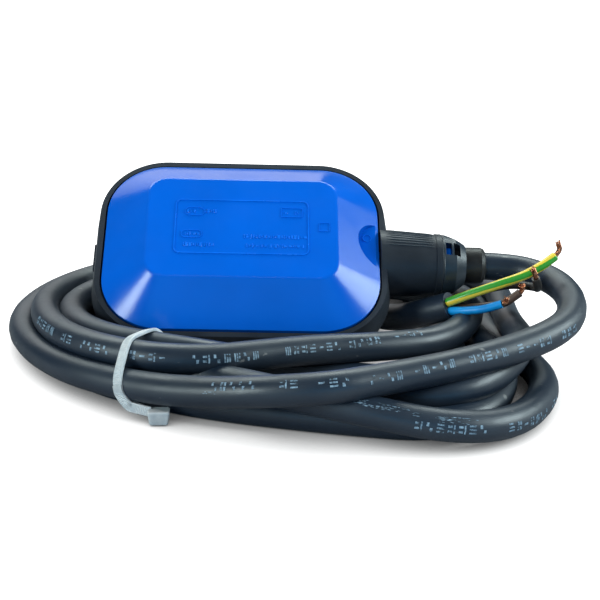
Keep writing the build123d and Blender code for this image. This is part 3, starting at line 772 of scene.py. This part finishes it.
for start, stop, tilt_start, tilt_stop in PRINTED:
    place = float(start)
    while place + GLYPH_WIDTH < stop + 0.5:
        tilt = tilt_start + (tilt_stop - tilt_start) * (place - start) / (stop - start)
        middle = math.radians(tilt)
        for offset, width, low, high in GLYPHS[draw.integers(0, len(GLYPHS))]:
            bottom = middle + low * GLYPH_HALF
            top = middle + high * GLYPH_HALF
            stroke(bm, (place + offset) * MM, width, bottom, top, PRINT_LIFT)
        place += GLYPH_PITCH
printed = link_mesh("cable_print", bm, pale_print)

# Pale rubs: from, to (millimetres along the cable), lowest and highest angle, how many.
RUBBED = [(1728, 1748, 34, 58, 46), (1713, 1724, 26, 48, 26), (196, 200, 10, 22, 5)]
bm = bmesh.new()
draw = np.random.default_rng(19)
for start, stop, low, high, count in RUBBED:
    for _ in range(count):
        angle = math.radians(draw.uniform(low, high))
        place = draw.uniform(start, stop) * MM
        width = draw.uniform(0.4, 2.4)
        stroke(bm, place, width, angle, angle + draw.uniform(0.015, 0.05), RUB_LIFT)
rubbed = link_mesh("cable_rubs", bm, pale_print)

# ------------------------------------------------------------------ cable tie
TIE_CENTRE = np.array([-46.4, -56.4, 11.2])
TIE_TURN = math.radians(65)
TIE_LEAN = math.radians(18)
TIE_REACH = 30  # strands further out than this aren't in the bundle
ROUND_POINTS = 48  # points around each strand that the strap's line goes around
SMOOTHINGS = 60
TIE_OUT = np.array([-math.cos(TIE_TURN), -math.sin(TIE_TURN), 0.0])
UPRIGHT = np.array([0.0, 0.0, 1.0])
TIE_UP = np.cross(TIE_OUT, UPRIGHT) * math.sin(TIE_LEAN) + UPRIGHT * math.cos(TIE_LEAN)
TIE_ACROSS = np.cross(TIE_OUT, TIE_UP)
STRAP_HALF_WIDTH = 1.5
STRAP_THICK = 1.15
STRAP_AIR = 0.12
STRAP_LOWEST = (1.1 - TIE_CENTRE[2]) / TIE_UP[2]  # keeps its middle 1.1 above the floor
STRAP_POINTS = 240


def tie_crossings():
    """Where the cable's line passes through the tie's plane, as (outward, height) pairs."""
    local = cable_line / MM - TIE_CENTRE
    side = local @ TIE_ACROSS
    found = []
    for k in range(len(side) - 1):
        if side[k] * side[k + 1] <= 0 and side[k] != side[k + 1]:
            t = side[k] / (side[k] - side[k + 1])
            point = local[k] + (local[k + 1] - local[k]) * t
            if abs(point @ TIE_OUT) < TIE_REACH:
                found.append((float(point @ TIE_OUT), float(point @ TIE_UP)))
    return found


def convex_outline(points):
    """Corners of the smallest convex outline, counter-clockwise."""
    points = sorted(points)
    halves = []
    for ordered in (points, points[::-1]):
        chain = []
        for p in ordered:
            while len(chain) > 1 and (
                (chain[-1][0] - chain[-2][0]) * (p[1] - chain[-2][1])
                - (chain[-1][1] - chain[-2][1]) * (p[0] - chain[-2][0])
            ) <= 0:
                chain.pop()
            chain.append(p)
        halves.append(chain[:-1])
    return halves[0] + halves[1]


def tie_loop(reach):
    """The closed line around the bundle, reach millimetres outside the strands' middles."""
    cloud = []
    for x, z in tie_crossings():
        for j in range(ROUND_POINTS):
            angle = 2 * math.pi * j / ROUND_POINTS
            cloud.append((x + reach * math.cos(angle), max(z + reach * math.sin(angle), STRAP_LOWEST)))
    outline = np.array(convex_outline(cloud))
    closed = np.vstack([outline, outline[:1]])
    marks = np.concatenate([[0], np.cumsum(np.linalg.norm(np.diff(closed, axis=0), axis=1))])
    places = np.linspace(0, marks[-1], STRAP_POINTS + 1)[:-1]
    loop = np.stack([np.interp(places, marks, closed[:, k]) for k in range(2)], 1)
    for _ in range(SMOOTHINGS):
        loop = (np.roll(loop, 1, 0) + 2 * loop + np.roll(loop, -1, 0)) / 4
    return loop


def tie_point(outward, height, across):
    """World point from millimetres in the tie's own plane and across it."""
    return Vector((TIE_CENTRE + TIE_OUT * outward + TIE_UP * height + TIE_ACROSS * across) * MM)


def strap_ring(bm, number, place):
    """One section of the strap, lower at every second one for the teeth.

    place turns millimetres across the strap and out of the bundle into a point.
    """
    tooth = 0.28 if number % 2 else 0.0
    profile = (
        (-1.0, -0.7), (-0.8, -1), (0.8, -1), (1.0, -0.7), (1.0, 0.7), (0.86, 1.0),
        (0.6, 1.0 - tooth), (-0.6, 1.0 - tooth), (-0.86, 1.0), (-1.0, 0.7),
    )
    half_thick = STRAP_THICK / 2
    return [bm.verts.new(place(side * STRAP_HALF_WIDTH, out * half_thick)) for side, out in profile]


strap_line = tie_loop(CORD_RADIUS + STRAP_THICK / 2 + STRAP_AIR)
ahead = np.roll(strap_line, -1, 0) - np.roll(strap_line, 1, 0)
ahead /= np.linalg.norm(ahead, axis=1)[:, None]
outside = np.stack([ahead[:, 1], -ahead[:, 0]], 1)
bm = bmesh.new()
bridge(bm, [
    strap_ring(bm, k, lambda side, out: tie_point(*(strap_line[k] + outside[k] * out), side))
    for k in range(STRAP_POINTS)
], closed=True)
strap = link_mesh("tie_strap", bm, tie_nylon, smooth=False)

# The strap's last run: off the loop's lower outer corner, in front of the bundle, to the head.
RUN_FROM = (16, 9)  # points of the loop past its lower outer corner
RUN_LIFT = 0.4  # how far it lies on the outside of the loop there
RUN_TO = [(-50.5, -73.0, 5.0), (-47.8, -74.2, 4.4), (-43.5, -75.2, 3.8)]
RUN_WIDTH_START = Vector(-TIE_ACROSS)
RUN_WIDTH_END = Vector((0.1, 0.35, 0.93))
lower_corner = int(np.argmax(strap_line[:, 0] - strap_line[:, 1]))
run_start = [
    tie_point(*(strap_line[lower_corner + k] + outside[lower_corner + k] * RUN_LIFT), 0)
    for k in RUN_FROM
]
run_line = through(run_start + [Vector(point) * MM for point in RUN_TO], 16)
run_ahead, _, _ = frames_along(run_line)
bm = bmesh.new()
rings = []
for k, point in enumerate(run_line):
    wide = RUN_WIDTH_START.lerp(RUN_WIDTH_END, k / (len(run_line) - 1))
    forward = Vector(run_ahead[k])
    across = (wide - forward * wide.dot(forward)).normalized()
    face_out = forward.cross(across).normalized()
    rings.append(strap_ring(
        bm, k, lambda side, out: Vector(point) + across * (side * MM) + face_out * (out * MM)
    ))
bridge(bm, rings)
cap(bm, rings)
tail_run = link_mesh("tie_run", bm, tie_nylon, smooth=False)

# The head: a tapered block that stands on the floor in front of the bundle.
HEAD_MIDDLE = (-41.0, -75.5)
HEAD_TURN = math.radians(4)
HEAD_LAYERS = (  # height, half width, half depth
    (0.25, 2.6, 2.0), (0.6, 2.85, 2.2), (4.1, 3.4, 2.5), (4.7, 3.2, 2.3),
)
HEAD_CORNER = 0.6


def head_point(x, y, height):
    """World point from millimetres along the head's own width and depth."""
    turned_x = x * math.cos(HEAD_TURN) - y * math.sin(HEAD_TURN)
    turned_y = x * math.sin(HEAD_TURN) + y * math.cos(HEAD_TURN)
    return Vector((HEAD_MIDDLE[0] + turned_x, HEAD_MIDDLE[1] + turned_y, height)) * MM


bm = bmesh.new()
rings = [
    rounded_ring(bm, head_point, half_wide, half_deep, HEAD_CORNER, height, 4)
    for height, half_wide, half_deep in HEAD_LAYERS
]
bridge(bm, rings)
cap(bm, rings)
head = link_mesh("tie_head", bm, tie_nylon, smooth=False)
bevel = head.modifiers.new("soft_edges", "BEVEL")
bevel.width = 0.25 * MM
bevel.segments = 2
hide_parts("cable_tie")

# ------------------------------------------------------------------ relief on the cover
COVER_LEVEL = 11.75
POCKET_LEVEL = 1.2
RELIEF = 0.26
SUNK = -0.1  # how deep the relief starts in the cover


def cover_spot(centre_x, centre_y, ground=COVER_LEVEL):
    """A place function for marks around one spot of the cover."""
    return lambda x, y, level: on_float(centre_x + x, centre_y + y, ground + level)


# Frames in relief: middle, outer and inner size (half length, half height, corner).
FRAMES = (
    (cover_spot(-0.1, 0.1), (23.0, 11.3, 2.2), (22.6, 10.9, 1.8)),
    (cover_spot(28.2, 0.6), (1.9, 1.8, 0.3), (1.7, 1.6, 0.15)),
    (cover_spot(-16.4, 6.3), (3.4, 1.7, 1.6), (3.15, 1.45, 1.35)),
    (cover_spot(17.0, 6.4), (3.7, 2.0, 0.3), (3.5, 1.8, 0.15)),
    (cover_spot(-17.2, -3.2), (3.6, 1.6, 1.55), (3.35, 1.35, 1.3)),
    (cover_spot(43.8, 3.7, POCKET_LEVEL), (1.6, 1.6, 1.55), (1.3, 1.3, 1.25)),
)
# Small pads stand in rows in place of print, each drawn from these sizes.
PAD_WIDTHS = (0.28, 0.5, 0.9)
PAD_HALF_HEIGHTS = (0.45, 0.75, 0.75)
PAD_GAPS = (0.35, 0.5, 0.9)
PAD_CORNER = 0.12
PAD_RELIEF = 0.8 * RELIEF
PAD_ROWS = (  # middle and length
    (-17.8, 6.4, 3.0), (-11.0, 6.5, 3.6), (15.2, 6.4, 1.3), (18.7, 6.4, 1.3), (-17.2, -3.2, 4.6),
    (-14.6, -7.6, 10.5), (11.2, -3.9, 21.0), (11.6, -7.7, 20.0),
)
bm = bmesh.new()
for spot, outer, inner in FRAMES:
    box_ring(bm, spot, outer, inner, SUNK, RELIEF)
for cx, cy, length in PAD_ROWS:
    draw = np.random.default_rng(int(1000 + cx * 10))
    place = cx - length / 2
    while place < cx + length / 2 - 0.3:
        wide = float(draw.choice(PAD_WIDTHS))
        tall = float(draw.choice(PAD_HALF_HEIGHTS))
        soft_pad(bm, cover_spot(place + wide / 2, cy), wide / 2, tall, PAD_CORNER, SUNK, PAD_RELIEF)
        place += wide + float(draw.choice(PAD_GAPS))
link_mesh("cover_relief", bm, blue_mark, smooth=False)

# ------------------------------------------------------------------ fine lines on the gland's neck
NECK = ((50.5, 12.2), (67.6, 10.95))  # distance along the gland and radius
NECK_LINES = 9
NECK_FIRST = 41.88  # degrees around the gland, from UP towards OUT
NECK_STEP = 5.89
LINE_END = 0.02  # the lines thin to this at both ends and lie as deep in the neck
LINE_RADII = [LINE_END * MM] + [0.16 * MM] * 7 + [LINE_END * MM]
bm = bmesh.new()
for j in range(NECK_LINES):
    angle = math.radians(NECK_FIRST + NECK_STEP * j)
    direction = OUT * math.sin(angle) + UP * math.cos(angle)
    ends = [
        GLAND_MIDDLE + ALONG * (along * MM) + direction * ((radius - LINE_END) * MM)
        for along, radius in NECK
    ]
    last = len(LINE_RADII) - 1
    line = [ends[0].lerp(ends[1], t / last) for t in range(last + 1)]
    tube(bm, line, LINE_RADII, sides=8)
link_mesh("neck_lines", bm, gland_black)

# ------------------------------------------------------------------ floor and light
FLOOR_HALF = 6.0  # metres
FLOOR_LEVEL = -0.0002  # metres, just under what the object rests on
FLOOR_GLOW = 2.0
SHADE_REACH = 0.07  # metres, how near the object the floor darkens


def mixed(nodes, links, factor, first, second):
    """A mix of two shaders, all second where the factor is 1."""
    mix = nodes.new("ShaderNodeMixShader")
    links.new(factor, mix.inputs["Fac"])
    links.new(first, mix.inputs[1])
    links.new(second, mix.inputs[2])
    return mix.outputs["Shader"]


def background(nodes, colour, strength):
    """Even light of one colour from all around."""
    node = nodes.new("ShaderNodeBackground")
    node.inputs["Color"].default_value = (*colour, 1)
    node.inputs["Strength"].default_value = strength
    return node.outputs["Background"]


# The camera sees the floor glowing white, with painted shade from ambient occlusion near the object; every
# other ray meets plain grey.
floor_material, nodes, links, shader = plain("white_floor", (0.30, 0.31, 0.33), 0.9, specular=0.1)
pale = nodes.new("ShaderNodeBsdfDiffuse")
pale.inputs["Color"].default_value = (0.93, 0.93, 0.93, 1)
# Ambient occlusion scales the floor's glow, painting shade onto the floor near and under the object.
painted_shade_ao = nodes.new("ShaderNodeAmbientOcclusion")
painted_shade_ao.inputs["Distance"].default_value = SHADE_REACH
brightness = nodes.new("ShaderNodeMath")
brightness.operation = "MULTIPLY"
brightness.inputs[1].default_value = FLOOR_GLOW
links.new(painted_shade_ao.outputs["AO"], brightness.inputs[0])
glow = nodes.new("ShaderNodeEmission")
glow.inputs["Color"].default_value = (1, 1, 1, 1)
links.new(brightness.outputs["Value"], glow.inputs["Strength"])
glow_share = nodes.new("ShaderNodeValue")
glow_share.outputs["Value"].default_value = 0.85
seen = mixed(nodes, links, glow_share.outputs["Value"], pale.outputs["BSDF"], glow.outputs["Emission"])
rays = nodes.new("ShaderNodeLightPath")
links.new(mixed(nodes, links, rays.outputs["Is Camera Ray"], shader.outputs["BSDF"], seen),
          nodes["Material Output"].inputs["Surface"])

bm = bmesh.new()
bm.faces.new([
    bm.verts.new((x * FLOOR_HALF, y * FLOOR_HALF, FLOOR_LEVEL))
    for x, y in ((-1, -1), (1, -1), (1, 1), (-1, 1))
])
mesh = bpy.data.meshes.new("floor")
bm.to_mesh(mesh)
bm.free()
mesh.materials.append(floor_material)
floor = bpy.data.objects.new("floor", mesh)
scene.collection.objects.link(floor)

# The camera sees a white backdrop, gloss a nearly dark one, and the rest is a dim blue room.
world = bpy.data.worlds.new("studio")
scene.world = world
world.use_nodes = True
nodes = world.node_tree.nodes
links = world.node_tree.links
rays = nodes.new("ShaderNodeLightPath")
room = background(nodes, (0.85, 0.92, 1.0), 0.11)
backdrop = background(nodes, (1, 1, 1), 1.0)
dark = background(nodes, (0.7, 0.85, 1.0), 0.03)
shown = mixed(nodes, links, rays.outputs["Is Camera Ray"], room, backdrop)
links.new(mixed(nodes, links, rays.outputs["Is Glossy Ray"], shown, dark),
          nodes["World Output"].inputs["Surface"])


def softbox(name, towards, distance, size, power, colour, mirrored):
    """A rectangular lamp in a direction from the object; mirrored says if gloss shows it."""
    data = bpy.data.lights.new(name, "AREA")
    data.shape = "RECTANGLE"
    data.size, data.size_y = size
    data.energy = power
    data.color = colour
    lamp = bpy.data.objects.new(name, data)
    lamp.location = Vector(towards).normalized() * distance
    lamp.rotation_euler = (-lamp.location).to_track_quat("-Z", "Y").to_euler()
    lamp.visible_glossy = mirrored
    scene.collection.objects.link(lamp)


WHITE = (1.0, 1.0, 1.0)
softbox("back_box", (-0.35, 0.92, 0.42), 1.6, (1.5, 0.55), 3.2, WHITE, True)
softbox("top_back_box", (-0.05, 0.60, 0.80), 1.5, (1.9, 0.5), 21, (0.88, 1.0, 0.97), True)
softbox("front_fill", (-0.15, -0.60, 0.80), 1.5, (0.9, 0.7), 9.5, WHITE, False)
softbox("low_front_box", (0.15, -0.95, 0.10), 1.3, (1.8, 0.35), 2.4, (0.08, 0.52, 1.0), True)
softbox("left_box", (-0.75, -0.56, 0.30), 1.1, (0.3, 0.36), 6.0, (0.84, 1.0, 1.0), True)
softbox("right_box", (0.82, -0.08, 0.42), 1.1, (0.8, 0.38), 12.0, (0.82, 0.98, 1.0), True)
